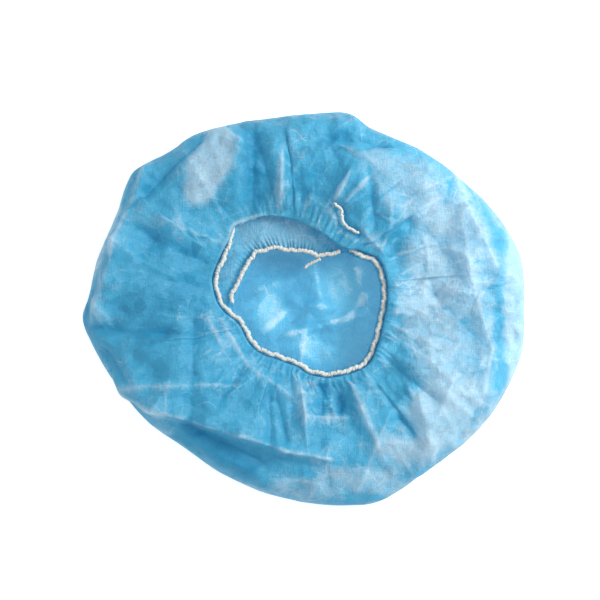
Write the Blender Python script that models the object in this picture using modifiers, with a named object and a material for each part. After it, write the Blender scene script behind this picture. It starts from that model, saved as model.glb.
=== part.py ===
"""Disposable bouffant cap, lying crown down with its gathered mouth up.

One disc of thin cloth: a flat crown, a puffed side, a gathered top layer and a hem that
holds a loop of elastic. At one side of the mouth a lip of cloth folds over the elastic,
and a narrow flap hangs inside it with a second run of elastic along its edge.

Metres, +Z up. The origin is under the middle of the cap, on the surface that it lies on.
Angles are in degrees, counter-clockwise from +X seen from above. Every table holds shares
of the named sizes below.
"""

import math

import bmesh
import bpy
import numpy as np

# Driving sizes
cap_width = 0.290
cap_depth = 0.256
puff_height = 0.038
mouth_width = 0.110
mouth_depth = 0.107
mouth_shift_left = 0.0026
mouth_shift_back = 0.0045
mouth_height = 0.021
cloth_wall = 0.0010
elastic_diameter = 0.0030
inner_elastic_diameter = 0.0026
tail_diameter = 0.0018
clearance = 0.0003
lip_reach = 0.0060
lip_gap = 0.0007
flap_reach = 0.0257
flap_droop = 0.0030
hem_edge = 0.0010
gather_height = 0.0050
fold_height = 0.0055
fold_width = 0.0095

# How finely the cloth is divided: four columns make one gather
gather_count = 24
columns = 4 * gather_count

# The cap's outline from above, and how high its top layer stands there
OUTLINE_COLUMNS = ("angle", "reach", "puff")
OUTLINE = (
    (0, 0.995, 0.72),
    (14, 1.016, 0.74),
    (24, 0.997, 0.80),
    (41, 0.966, 0.92),
    (54, 0.962, 0.98),
    (70, 0.974, 0.96),
    (77, 1.018, 0.90),
    (85, 1.004, 0.88),
    (95, 0.985, 0.92),
    (110, 0.992, 1.00),
    (124, 1.012, 1.02),
    (131, 1.002, 0.98),
    (142, 1.037, 0.92),
    (153, 0.970, 0.96),
    (166, 0.962, 1.00),
    (178, 0.973, 0.94),
    (182, 0.998, 0.84),
    (186, 0.990, 0.80),
    (189, 0.975, 0.84),
    (199, 0.938, 0.94),
    (216, 0.908, 1.00),
    (231, 0.888, 1.04),
    (243, 0.916, 1.00),
    (263, 0.966, 0.94),
    (281, 1.020, 0.90),
    (291, 1.038, 0.88),
    (304, 1.000, 0.92),
    (324, 0.996, 0.90),
    (339, 1.004, 0.80),
    (348, 1.009, 0.74),
)

# The line of the elastic about the mouth's middle, and its height
MOUTH_COLUMNS = ("angle", "reach", "height")
MOUTH = (
    (2, 0.997, 1.00),
    (20, 1.015, 1.04),
    (27, 1.008, 1.08),
    (33, 0.940, 1.12),
    (40, 0.868, 1.14),
    (50, 0.885, 1.12),
    (63, 0.920, 1.08),
    (77, 0.980, 1.05),
    (90, 1.050, 1.02),
    (100, 1.098, 1.00),
    (114, 1.150, 0.98),
    (124, 1.168, 0.98),
    (132, 1.196, 0.98),
    (138, 1.116, 0.99),
    (147, 1.050, 1.00),
    (158, 1.031, 1.00),
    (166, 1.029, 0.98),
    (172, 0.994, 0.96),
    (180, 0.945, 0.94),
    (187, 0.880, 0.92),
    (196, 0.772, 0.90),
    (203, 0.737, 0.90),
    (214, 0.744, 0.91),
    (226, 0.762, 0.93),
    (236, 0.752, 0.95),
    (246, 0.730, 0.96),
    (258, 0.739, 0.97),
    (270, 0.783, 0.98),
    (277, 0.860, 0.99),
    (285, 0.921, 1.00),
    (293, 0.975, 1.00),
    (301, 1.008, 0.99),
    (309, 1.055, 0.97),
    (316, 1.080, 0.96),
    (329, 1.032, 0.96),
    (345, 0.984, 0.98),
)

# How far the lip covers the elastic, and how far the flap hangs in from it
HEM_COLUMNS = ("angle", "lip", "flap")
HEM = (
    (0, 0.0, 0.0),
    (40, 0.0, 0.0),
    (46, 0.55, 0.06),
    (53, 0.90, 0.32),
    (60, 1.00, 0.54),
    (68, 1.00, 0.72),
    (77, 1.00, 0.76),
    (88, 1.00, 0.90),
    (104, 0.75, 1.00),
    (120, 0.50, 0.89),
    (131, 0.45, 0.86),
    (140, 0.20, 0.65),
    (148, 0.0, 0.56),
    (158, 0.0, 0.55),
    (166, 0.0, 0.50),
    (173, 0.0, 0.33),
    (181, 0.0, 0.19),
    (190, 0.0, 0.0),
)

# Half of a slice through the cap. On the crown and side, along is the share of the way from
# the middle of the crown to the outline, and on the top from the elastic to the outline.
SLICE_COLUMNS = ("along", "height")
CROWN_AND_SIDE = (
    (0.32, 0.0),
    (0.66, 0.0),
    (0.88, 0.0),
    (0.955, 0.10),
    (1.0, 0.40),
    (0.985, 0.68),
)
TOP = (
    (0.90, 0.86),
    (0.74, 0.97),
    (0.56, 1.00),
    (0.38, 0.95),
    (0.23, 0.86),
    (0.11, 0.76),
)

# Straight folds in the top layer, from one end to the other as shares of half the cap's
# width and depth. A lift under 0 is a dent.
FOLD_COLUMNS = ("x0", "y0", "x1", "y1", "width", "lift")
FOLDS = (
    (-0.70, 0.70, -0.82, 0.32, 1.0, 0.9),
    (-0.82, 0.32, -0.92, -0.02, 1.0, 0.8),
    (-0.90, -0.11, -0.61, -0.13, 0.8, -0.9),
    (-0.90, -0.11, -0.67, -0.49, 1.0, 0.9),
    (-0.67, -0.49, -0.18, -0.69, 1.0, 1.0),
    (-0.18, -0.69, 0.10, -0.76, 1.0, 0.8),
    (-0.50, 0.81, -0.77, 0.48, 0.9, -0.8),
    (-0.35, 0.92, 0.34, 0.81, 0.9, 0.8),
    (-0.22, 0.62, -0.22, 0.48, 0.8, -1.0),
    (-0.10, 0.76, -0.08, 0.53, 0.9, 1.0),
    (-0.07, 0.78, -0.02, 0.55, 0.7, -0.9),
    (0.29, 0.66, 0.30, 0.44, 0.9, -1.0),
    (-0.59, 0.41, -0.37, 0.32, 1.0, 0.9),
    (-0.88, 0.07, -0.51, -0.02, 1.1, 0.9),
    (-0.49, -0.17, -0.50, -0.51, 0.9, -1.0),
    (-0.26, -0.31, -0.34, -0.43, 0.8, -0.8),
    (-0.23, -0.33, -0.09, -0.44, 0.9, 1.0),
    (-0.12, -0.52, -0.07, -0.71, 0.9, -0.9),
    (-0.03, -0.34, 0.01, -0.67, 1.0, 1.0),
    (0.21, -0.40, 0.30, -0.67, 1.0, 0.9),
    (0.40, -0.25, 0.58, -0.46, 0.9, -1.0),
    (0.65, -0.39, 0.54, -0.67, 1.0, 1.0),
    (0.69, 0.55, 0.73, 0.19, 1.0, 0.9),
    (0.73, 0.19, 0.83, -0.22, 1.0, 0.9),
    (0.83, -0.22, 0.78, -0.43, 1.0, 0.8),
)

# The loose end on top of the gathers: its angle, and how far out from the lip it lies, counted
# in rows of the cloth
TOP_TAIL_COLUMNS = ("angle", "out")
TOP_TAIL = (
    (71.0, 1.54),
    (69.6, 1.38),
    (66.4, 1.42),
    (64.9, 1.12),
    (63.2, 0.89),
    (60.4, 0.75),
    (56.4, 0.71),
    (52.3, 0.78),
    (49.0, 0.79),
)

# The short end inside the mouth: its angle, how far it has turned away from the inner
# elastic and how far it has dropped, both as shares of tail_turn
tail_turn = 0.0085
INNER_TAIL_COLUMNS = ("angle", "in", "down")
INNER_TAIL = (
    (63.5, 0.0, 0.0),
    (67.5, 0.12, 0.02),
    (72.0, 0.42, 0.08),
    (77.0, 0.75, 0.16),
    (81.5, 1.0, 0.22),
)

# The inner elastic runs between these two angles
inner_start = 182.0
inner_end = 50.0

CLOTH_BLUE = (0.115, 0.434, 0.708, 1.0)
ELASTIC_WHITE = (0.840, 0.830, 0.790, 1.0)


def column(rows, names, name):
    """One named column of a table."""
    return np.array([row[names.index(name)] for row in rows], float)


def around(rows, names, name, angle):
    """A column's value at each angle, on a smooth curve through its rows, round the whole turn."""
    at = column(rows, names, "angle")
    value = column(rows, names, name)
    at = np.concatenate([at[-2:] - 360.0, at, at[:2] + 360.0])
    value = np.concatenate([value[-2:], value, value[:2]])
    slope = np.gradient(value, at)
    angle = np.mod(angle, 360.0)
    k = np.searchsorted(at, angle, side="right") - 1
    gap = at[k + 1] - at[k]
    s = (angle - at[k]) / gap
    line = value[k] + (value[k + 1] - value[k]) * s * s * (3.0 - 2.0 * s)
    return line + gap * s * (1.0 - s) * (slope[k] * (1.0 - s) - slope[k + 1] * s)


def direction(angle):
    """Unit vectors in plan for angles in degrees."""
    return np.stack([np.cos(np.radians(angle)), np.sin(np.radians(angle))], axis=-1)


def oval(angle, width, depth):
    """Radius of an oval of this width and depth at each angle."""
    way = direction(angle)
    return 1.0 / np.hypot(way[..., 0] / (width / 2), way[..., 1] / (depth / 2))


def outline_point(angle):
    """The cap's outline in plan."""
    reach = around(OUTLINE, OUTLINE_COLUMNS, "reach", angle) * oval(angle, cap_width, cap_depth)
    return direction(angle) * reach[..., None]


def mouth_point(angle):
    """The middle line of the hem elastic, in three dimensions."""
    reach = around(MOUTH, MOUTH_COLUMNS, "reach", angle) * oval(angle, mouth_width, mouth_depth)
    plan = np.array([-mouth_shift_left, mouth_shift_back]) + direction(angle) * reach[..., None]
    height = around(MOUTH, MOUTH_COLUMNS, "height", angle) * mouth_height
    return np.concatenate([plan, height[..., None]], axis=-1)


def outward(angle):
    """Unit vectors in plan that point away from the mouth, square to the elastic."""
    step = 4.0
    along = (mouth_point(angle + step) - mouth_point(angle - step))[..., :2]
    along /= np.linalg.norm(along, axis=-1, keepdims=True)
    return np.stack([along[..., 1], -along[..., 0]], axis=-1)


def beside_elastic(angle, out, up):
    """A point out from the elastic's middle line by out and above it by up."""
    place = mouth_point(angle)
    place[..., :2] += outward(angle) * np.asarray(out)[..., None]
    place[..., 2] += up
    return place


def puff(angle):
    """Height of the top layer at each angle."""
    return around(OUTLINE, OUTLINE_COLUMNS, "puff", angle) * puff_height


def fold_lift(plan):
    """Height that the straight folds add at points in plan."""
    half = np.array([cap_width, cap_depth]) / 2
    lift = np.zeros(plan.shape[:-1])
    for x0, y0, x1, y1, width, height in FOLDS:
        start = np.array([x0, y0]) * half
        run = np.array([x1, y1]) * half - start
        along = np.clip(((plan - start) @ run) / (run @ run), 0.0, 1.0)
        away = np.linalg.norm(plan - start - along[..., None] * run, axis=-1)
        lift += height * fold_height * np.clip(1.0 - away / (width * fold_width), 0.0, 1.0)
    return lift


def column_angles():
    """The angle of each column of the cloth, a little uneven, as gathers are."""
    turn = 2 * math.pi * np.arange(columns) / columns
    return np.degrees(turn) + 2.2 * np.sin(3 * turn) + 1.4 * np.sin(7 * turn)


def gather_lift(angle, along):
    """Height that the gathers add: ridges that fade out away from the elastic."""
    turn = np.interp(angle, np.append(column_angles(), 360.0), np.arange(columns + 1) / columns)
    ridge = 0.5 - 0.5 * np.cos(2 * math.pi * gather_count * turn)
    return gather_height * ridge * np.exp(-3.2 * along)


def crown_row(angle, along, height):
    """One row of the crown or side."""
    plan = outline_point(angle) * along
    rise = cloth_wall / 2 + height * (puff(angle) - cloth_wall)
    return np.concatenate([plan, rise[..., None]], axis=-1)


def top_row(angle, along, height):
    """One row of the top layer, between the elastic and the outline."""
    near = beside_elastic(angle, np.full_like(angle, elastic_diameter), 0.0)
    plan = near[..., :2] + (outline_point(angle) - near[..., :2]) * np.asarray(along)[..., None]
    level = np.interp(height, (0.7, 1.0), (0.0, 1.0))
    low = near[..., 2] + elastic_diameter
    rise = np.where(np.asarray(along) < 0.7, low + (puff(angle) - low) * level, height * puff(angle))
    inside_rim = np.clip((1.0 - np.asarray(along)) / 0.2, 0.0, 1.0)
    rise = rise + gather_lift(angle, np.asarray(along)) + fold_lift(plan) * inside_rim
    return np.concatenate([plan, rise[..., None]], axis=-1)


def hem_levels():
    """Heights above the elastic's middle of the two layers of the lip, and of the hem under it."""
    over = elastic_diameter / 2 + clearance + cloth_wall / 2
    return over + cloth_wall + lip_gap, over, -over


def inside_mouth(angle, inward, up):
    """A point in from the elastic's middle line, towards the mouth's middle, and above it by up."""
    place = mouth_point(angle)
    place[..., :2] -= direction(angle) * np.asarray(inward)[..., None]
    place[..., 2] += up
    return place


def flap_share(angle):
    """How far the flap hangs in at each angle, as a share of its furthest reach."""
    return np.clip(around(HEM, HEM_COLUMNS, "flap", angle), 0.0, 1.0)


def flap_in(angle):
    """How far in from the elastic's middle the inner elastic's middle lies."""
    least = elastic_diameter / 2 + hem_edge
    return least + flap_share(angle) * (flap_reach - least)


def flap_level(angle, share):
    """Height of the flap's middle below the elastic's, at a share of the way to its edge."""
    return hem_levels()[2] - share * flap_share(angle) * flap_droop


def hem_rows(angle):
    """The rows that fold the lip over the elastic, wrap the elastic and end in the flap."""
    top, over, under = hem_levels()
    side = elastic_diameter / 2 + clearance + cloth_wall / 2
    bend = cloth_wall + lip_gap
    lip = np.clip(around(HEM, HEM_COLUMNS, "lip", angle), 0.0, 1.0)
    tip = side - lip * (side + lip_reach)
    edge = flap_in(angle) + inner_elastic_diameter / 2 * np.clip(flap_share(angle) / 0.2, 0.0, 1.0)
    return [
        beside_elastic(angle, tip + 1.6 * bend, top + 0.15 * bend),
        beside_elastic(angle, tip + 0.5 * bend, top),
        beside_elastic(angle, tip, (top + over) / 2),
        beside_elastic(angle, tip + 0.5 * bend * lip, over),
        beside_elastic(angle, np.full_like(angle, side + 0.1 * bend), over * (0.6 + 0.35 * lip)),
        beside_elastic(angle, np.full_like(angle, side + 0.1 * bend), under * 0.6),
        beside_elastic(angle, np.full_like(angle, 0.4 * side), under),
        inside_mouth(angle, 0.5 * edge, flap_level(angle, 0.5)),
        inside_mouth(angle, edge, flap_level(angle, 1.0)),
    ]


def cap_rows():
    """Every row of the cloth, from round the middle of the crown to the edge of the flap."""
    angle = column_angles()
    rows = [crown_row(angle, along, height) for along, height in CROWN_AND_SIDE]
    rows += [top_row(angle, along, height) for along, height in TOP]
    return rows + hem_rows(angle)


def principled(name, colour, roughness):
    """A plain material for one kind of stuff."""
    made = bpy.data.materials.new(name)
    made.use_nodes = True
    shader = made.node_tree.nodes["Principled BSDF"]
    shader.inputs["Base Color"].default_value = colour
    shader.inputs["Roughness"].default_value = roughness
    shader.inputs["Metallic"].default_value = 0.0
    return made


def place(name, data, material, parts):
    """An object for one sub-part, in the cap's collection."""
    made = bpy.data.objects.new(name, data)
    made.data.materials.append(material)
    parts.objects.link(made)
    return made


def make_cap_body(cloth, parts):
    """The cloth: a loft through its rows, closed at the crown and given its wall."""
    bm = bmesh.new()
    centre = bm.verts.new((0.0, 0.0, cloth_wall / 2))
    rings = [[bm.verts.new(point) for point in row] for row in cap_rows()]
    for k in range(columns):
        after = (k + 1) % columns
        bm.faces.new((centre, rings[0][after], rings[0][k]))
        for low, high in zip(rings, rings[1:]):
            bm.faces.new((low[k], low[after], high[after], high[k]))
    mesh = bpy.data.meshes.new("cap_body")
    bm.to_mesh(mesh)
    bm.free()
    mesh.shade_smooth()
    cap = place("cap_body", mesh, cloth, parts)
    wall = cap.modifiers.new("wall", "SOLIDIFY")
    wall.thickness = cloth_wall
    wall.offset = 0.0
    return cap


def make_cord(name, points, diameter, closed, material, parts):
    """A round cord along a list of points."""
    curve = bpy.data.curves.new(name, "CURVE")
    curve.dimensions = "3D"
    curve.bevel_depth = diameter / 2
    curve.bevel_resolution = 2
    curve.use_fill_caps = not closed
    spline = curve.splines.new("POLY")
    spline.points.add(len(points) - 1)
    for target, point in zip(spline.points, points):
        target.co = (*point, 1.0)
    spline.use_cyclic_u = closed
    return place(name, curve, material, parts)


def hem_elastic_path():
    """The elastic's closed line, at the same angles as the cloth's columns."""
    return mouth_point(column_angles())


def on_flap(angle, inward, up):
    """A point over the flap's edge."""
    rise = flap_level(angle, 1.0) + cloth_wall / 2 + clearance + up
    return inside_mouth(angle, flap_in(angle) + inward, rise)


def inner_elastic_path():
    """The second run of elastic, which lies on the edge of the flap."""
    angle = np.linspace(inner_start, inner_end, 40)
    return on_flap(angle, 0.0, inner_elastic_diameter / 2)


def top_tail_path():
    """The loose end that lies on the gathers."""
    angle, out = (column(TOP_TAIL, TOP_TAIL_COLUMNS, name) for name in TOP_TAIL_COLUMNS)
    steps = np.linspace(0, len(angle) - 1, 3 * len(angle) - 2)
    angle, out = (np.interp(steps, np.arange(len(angle)), values) for values in (angle, out))
    rows = [hem_rows(angle)[0]] + [top_row(angle, along, height) for along, height in TOP[::-1]]
    near = out.astype(int)
    path = np.stack(rows)[near, np.arange(len(near))]
    path += (np.stack(rows)[near + 1, np.arange(len(near))] - path) * (out - near)[:, None]
    path[:, 2] += tail_diameter / 2 + cloth_wall + clearance
    return path


def inner_tail_path():
    """The short end that turns away from the inner elastic over the crown."""
    angle, inward, down = (column(INNER_TAIL, INNER_TAIL_COLUMNS, name) for name in INNER_TAIL_COLUMNS)
    beside = (inner_elastic_diameter + tail_diameter) / 2 + clearance
    path = on_flap(angle, beside + inward * tail_turn, inner_elastic_diameter / 2)
    path[:, 2] -= down * tail_turn
    return path


def main():
    for old in list(bpy.data.objects):
        bpy.data.objects.remove(old, do_unlink=True)
    parts = bpy.data.collections.new("disposable_hairnet")
    bpy.context.scene.collection.children.link(parts)
    cloth = principled("non_woven_cloth", CLOTH_BLUE, 0.75)
    elastic = principled("elastic", ELASTIC_WHITE, 0.80)
    make_cap_body(cloth, parts)
    make_cord("hem_elastic", hem_elastic_path(), elastic_diameter, True, elastic, parts)
    make_cord("inner_elastic", inner_elastic_path(), inner_elastic_diameter, False, elastic, parts)
    make_cord("top_tail", top_tail_path(), tail_diameter, False, elastic, parts)
    make_cord("inner_tail", inner_tail_path(), tail_diameter, False, elastic, parts)


main()
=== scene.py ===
"""Looks of a disposable bouffant cap that lies crown down with its gathered mouth up.

One thin, slightly see-through sheet of non-woven cloth and the covered elastic of its hem,
each worked out with numpy from the sizes and short tables below. The sizes and the form
tables are those of the CAD source. Metres, +Z up, and angles in degrees counter-clockwise
from +X seen from above.
"""

import math

import bpy
import numpy as np
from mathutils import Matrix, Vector


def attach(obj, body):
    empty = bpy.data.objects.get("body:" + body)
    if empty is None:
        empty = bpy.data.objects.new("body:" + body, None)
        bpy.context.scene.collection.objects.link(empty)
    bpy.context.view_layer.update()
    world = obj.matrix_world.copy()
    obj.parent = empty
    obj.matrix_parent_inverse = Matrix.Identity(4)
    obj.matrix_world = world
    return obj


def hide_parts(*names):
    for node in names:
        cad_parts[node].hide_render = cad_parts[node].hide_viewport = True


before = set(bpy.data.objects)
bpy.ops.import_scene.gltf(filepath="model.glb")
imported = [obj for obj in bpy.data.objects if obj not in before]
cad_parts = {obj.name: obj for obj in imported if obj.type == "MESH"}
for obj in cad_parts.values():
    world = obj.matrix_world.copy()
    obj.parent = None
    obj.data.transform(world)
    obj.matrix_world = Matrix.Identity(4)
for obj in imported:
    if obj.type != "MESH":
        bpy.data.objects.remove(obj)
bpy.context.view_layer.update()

bl_info = {
    "name": "Bouffant cap looks",
    "version": (1, 0, 0),
    "blender": (4, 5, 0),
    "location": "View3D > Sidebar > Cap",
    "description": "Makes the crumpled cloth and the elastic of a bouffant cap",
    "category": "Object",
}

# Driving sizes, as in the CAD source
cap_width = 0.290
cap_depth = 0.256
puff_height = 0.038
mouth_width = 0.110
mouth_depth = 0.107
mouth_shift_left = 0.0026
mouth_shift_back = 0.0045
mouth_height = 0.021
cloth_wall = 0.0010
elastic_diameter = 0.0030
inner_elastic_diameter = 0.0026
tail_diameter = 0.0018
clearance = 0.0003
lip_reach = 0.0060
lip_gap = 0.0007
flap_reach = 0.0257
flap_droop = 0.0030
hem_edge = 0.0010
tail_turn = 0.0085
inner_start = 182.0
inner_end = 50.0

# The cap's outline from above, and how high its top layer stands there
OUTLINE_COLUMNS = ("angle", "reach", "puff")
OUTLINE = (
    (0, 0.995, 0.72),
    (14, 1.016, 0.74),
    (24, 0.997, 0.80),
    (41, 0.966, 0.92),
    (54, 0.962, 0.98),
    (70, 0.974, 0.96),
    (77, 1.018, 0.90),
    (85, 1.004, 0.88),
    (95, 0.985, 0.92),
    (110, 0.992, 1.00),
    (124, 1.012, 1.02),
    (131, 1.002, 0.98),
    (142, 1.037, 0.92),
    (153, 0.970, 0.96),
    (166, 0.962, 1.00),
    (178, 0.973, 0.94),
    (182, 0.998, 0.84),
    (186, 0.990, 0.80),
    (189, 0.975, 0.84),
    (199, 0.938, 0.94),
    (216, 0.908, 1.00),
    (231, 0.888, 1.04),
    (243, 0.916, 1.00),
    (263, 0.966, 0.94),
    (281, 1.020, 0.90),
    (291, 1.038, 0.88),
    (304, 1.000, 0.92),
    (324, 0.996, 0.90),
    (339, 1.004, 0.80),
    (348, 1.009, 0.74),
)

# The line of the elastic about the mouth's middle, and its height
MOUTH_COLUMNS = ("angle", "reach", "height")
MOUTH = (
    (2, 0.997, 1.00),
    (20, 1.015, 1.04),
    (27, 1.008, 1.08),
    (33, 0.940, 1.12),
    (40, 0.868, 1.14),
    (50, 0.885, 1.12),
    (63, 0.920, 1.08),
    (77, 0.980, 1.05),
    (90, 1.050, 1.02),
    (100, 1.098, 1.00),
    (114, 1.150, 0.98),
    (124, 1.168, 0.98),
    (132, 1.196, 0.98),
    (138, 1.116, 0.99),
    (147, 1.050, 1.00),
    (158, 1.031, 1.00),
    (166, 1.029, 0.98),
    (172, 0.994, 0.96),
    (180, 0.945, 0.94),
    (187, 0.880, 0.92),
    (196, 0.772, 0.90),
    (203, 0.737, 0.90),
    (214, 0.744, 0.91),
    (226, 0.762, 0.93),
    (236, 0.752, 0.95),
    (246, 0.730, 0.96),
    (258, 0.739, 0.97),
    (270, 0.783, 0.98),
    (277, 0.860, 0.99),
    (285, 0.921, 1.00),
    (293, 0.975, 1.00),
    (301, 1.008, 0.99),
    (309, 1.055, 0.97),
    (316, 1.080, 0.96),
    (329, 1.032, 0.96),
    (345, 0.984, 0.98),
)

# How far the lip covers the elastic, and how far the flap hangs in from it
HEM_COLUMNS = ("angle", "lip", "flap")
HEM = (
    (0, 0.0, 0.0),
    (40, 0.0, 0.0),
    (46, 0.55, 0.06),
    (53, 0.90, 0.32),
    (60, 1.00, 0.54),
    (68, 1.00, 0.72),
    (77, 1.00, 0.76),
    (88, 1.00, 0.90),
    (104, 0.75, 1.00),
    (120, 0.50, 0.89),
    (131, 0.45, 0.86),
    (140, 0.20, 0.65),
    (148, 0.0, 0.56),
    (158, 0.0, 0.55),
    (166, 0.0, 0.50),
    (173, 0.0, 0.33),
    (181, 0.0, 0.19),
    (190, 0.0, 0.0),
)

# Half of a slice through the cap, and how many rows of faces lead up to each of its points. On
# the crown and side, along is the share of the way from the middle of the crown to the outline,
# and on the top from the elastic to the outline. The columns are along, height and rows.
CROWN_AND_SIDE = (
    (0.32, 0.0, 20),
    (0.66, 0.0, 8),
    (0.88, 0.0, 6),
    (0.955, 0.10, 4),
    (1.0, 0.40, 7),
    (0.985, 0.68, 7),
)
TOP = (
    (0.90, 0.86, 14),
    (0.74, 0.97, 16),
    (0.56, 1.00, 16),
    (0.38, 0.95, 16),
    (0.23, 0.86, 12),
    (0.11, 0.76, 10),
)
HEM_ROWS = (8, 2, 1, 1, 2, 2, 2, 4, 5)
sheet_columns = 580

# The loose end on top of the gathers: its angle, and how far out from the lip it lies, counted
# in rows of the CAD source's cloth
TOP_TAIL_COLUMNS = ("angle", "out")
TOP_TAIL = (
    (71.0, 1.54),
    (69.6, 1.38),
    (66.4, 1.42),
    (64.9, 1.12),
    (63.2, 0.89),
    (60.4, 0.75),
    (56.4, 0.71),
    (52.3, 0.78),
    (49.0, 0.79),
)

# The short end inside the mouth: its angle, how far it has turned away from the inner elastic
# and how far it has dropped, both as shares of tail_turn
INNER_TAIL_COLUMNS = ("angle", "in", "down")
INNER_TAIL = (
    (63.5, 0.0, 0.0),
    (67.5, 0.12, 0.02),
    (72.0, 0.42, 0.08),
    (77.0, 0.75, 0.16),
    (81.5, 1.0, 0.22),
)

# Main creases of the top layer. A crease runs straight between two places, given as shares of
# half the cap's width and depth. Its slopes reach left and right of that line, seen along it,
# and it stands up by lift, or is a dent where lift is under 0, all in millimetres. The columns
# are x0, y0, x1, y1, left, right and lift.
TOP_CREASES = (
    (-0.40, 0.93, -0.28, 0.83, 9, 14, 2.0),
    (-0.50, 0.80, -0.76, 0.49, 7, 16, -2.4),
    (-0.71, 0.68, -0.82, 0.31, 18, 6, 3.4),
    (-0.82, 0.31, -0.92, -0.02, 18, 6, 3.2),
    (-0.74, 0.39, -0.66, 0.34, 6, 8, -2.0),
    (-0.59, 0.41, -0.37, 0.32, 10, 14, 2.2),
    (-0.55, 0.27, -0.44, 0.22, 8, 12, -2.2),
    (-0.53, 0.77, -0.40, 0.53, 14, 16, 1.8),
    (-0.22, 0.83, -0.23, 0.48, 13, 12, -3.4),
    (-0.19, 0.78, -0.13, 0.53, 6, 6, -1.4),
    (-0.10, 0.76, -0.11, 0.51, 8, 10, 2.4),
    (-0.07, 0.78, -0.01, 0.53, 6, 8, -1.8),
    (0.11, 0.85, 0.36, 0.82, 9, 7, -2.4),
    (0.02, 0.68, 0.09, 0.83, 12, 12, 1.6),
    (0.29, 0.66, 0.31, 0.43, 12, 7, -2.6),
    (0.14, 0.53, 0.20, 0.67, 7, 7, 1.8),
    (0.19, 0.53, 0.28, 0.64, 7, 7, 1.8),
    (0.27, 0.38, 0.36, 0.26, 7, 7, 1.6),
    (0.38, 0.26, 0.47, 0.42, 8, 10, -2.2),
    (0.67, 0.67, 0.74, 0.46, 16, 14, 1.8),
    (0.74, 0.46, 0.85, 0.21, 16, 14, 1.8),
    (0.69, 0.55, 0.73, 0.19, 12, 12, 1.6),
    (0.73, 0.19, 0.83, -0.22, 12, 14, 2.0),
    (0.83, -0.22, 0.78, -0.43, 12, 14, 1.6),
    (-0.92, 0.03, -0.89, -0.10, 8, 8, 2.0),
    (-0.89, -0.11, -0.61, -0.13, 6, 14, -2.6),
    (-0.88, -0.22, -0.78, -0.36, 6, 9, -2.0),
    (-0.84, -0.38, -0.64, -0.51, 18, 6, 4.0),
    (-0.64, -0.51, -0.28, -0.64, 20, 6, 3.6),
    (-0.28, -0.64, -0.08, -0.72, 20, 6, 3.4),
    (-0.08, -0.72, 0.10, -0.76, 18, 6, 3.4),
    (-0.50, -0.60, -0.22, -0.76, 8, 8, -3.0),
    (-0.49, -0.10, -0.49, -0.53, 10, 8, -2.4),
    (-0.73, -0.40, -0.35, -0.40, 8, 12, 1.8),
    (-0.27, -0.31, -0.36, -0.47, 7, 9, -2.0),
    (-0.23, -0.33, -0.08, -0.45, 8, 9, 2.0),
    (-0.15, -0.47, -0.15, -0.67, 5, 6, -1.8),
    (-0.12, -0.47, -0.07, -0.71, 5, 6, -2.0),
    (-0.43, -0.06, -0.38, -0.19, 7, 8, 1.6),
    (-0.35, -0.11, -0.26, -0.29, 7, 8, 1.6),
    (0.08, -0.40, 0.08, -0.53, 9, 9, -2.6),
    (0.16, -0.45, 0.16, -0.53, 6, 6, -2.2),
    (0.00, -0.56, 0.18, -0.56, 6, 12, 2.0),
    (-0.03, -0.34, 0.01, -0.67, 8, 8, 2.2),
    (0.21, -0.40, 0.33, -0.70, 9, 11, 2.0),
    (0.42, -0.56, 0.49, -0.64, 12, 12, -2.6),
    (0.38, -0.28, 0.58, -0.47, 8, 12, -2.4),
    (0.62, -0.40, 0.77, -0.33, 8, 10, -1.6),
    (0.64, -0.41, 0.54, -0.66, 12, 12, 2.4),
    (0.51, -0.46, 0.54, -0.67, 8, 8, 1.6),
    (0.56, 0.08, 0.78, -0.17, 14, 14, -1.4),
)

# Soft creases of the crown, as seen through the mouth
CROWN_CREASES = (
    (0.24, 0.23, 0.27, 0.05, 5, 9, 4.2),
    (0.27, 0.05, 0.20, -0.05, 5, 8, 4.0),
    (0.20, -0.05, -0.06, -0.13, 7, 6, 3.6),
    (-0.04, 0.03, 0.12, 0.00, 6, 9, 2.2),
    (-0.20, 0.10, -0.02, 0.16, 10, 12, 2.6),
    (-0.16, -0.10, -0.04, 0.03, 10, 10, 2.6),
    (0.05, 0.22, 0.08, 0.02, 9, 12, 2.6),
    (0.02, -0.02, -0.02, -0.30, 12, 10, 2.2),
)

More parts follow.
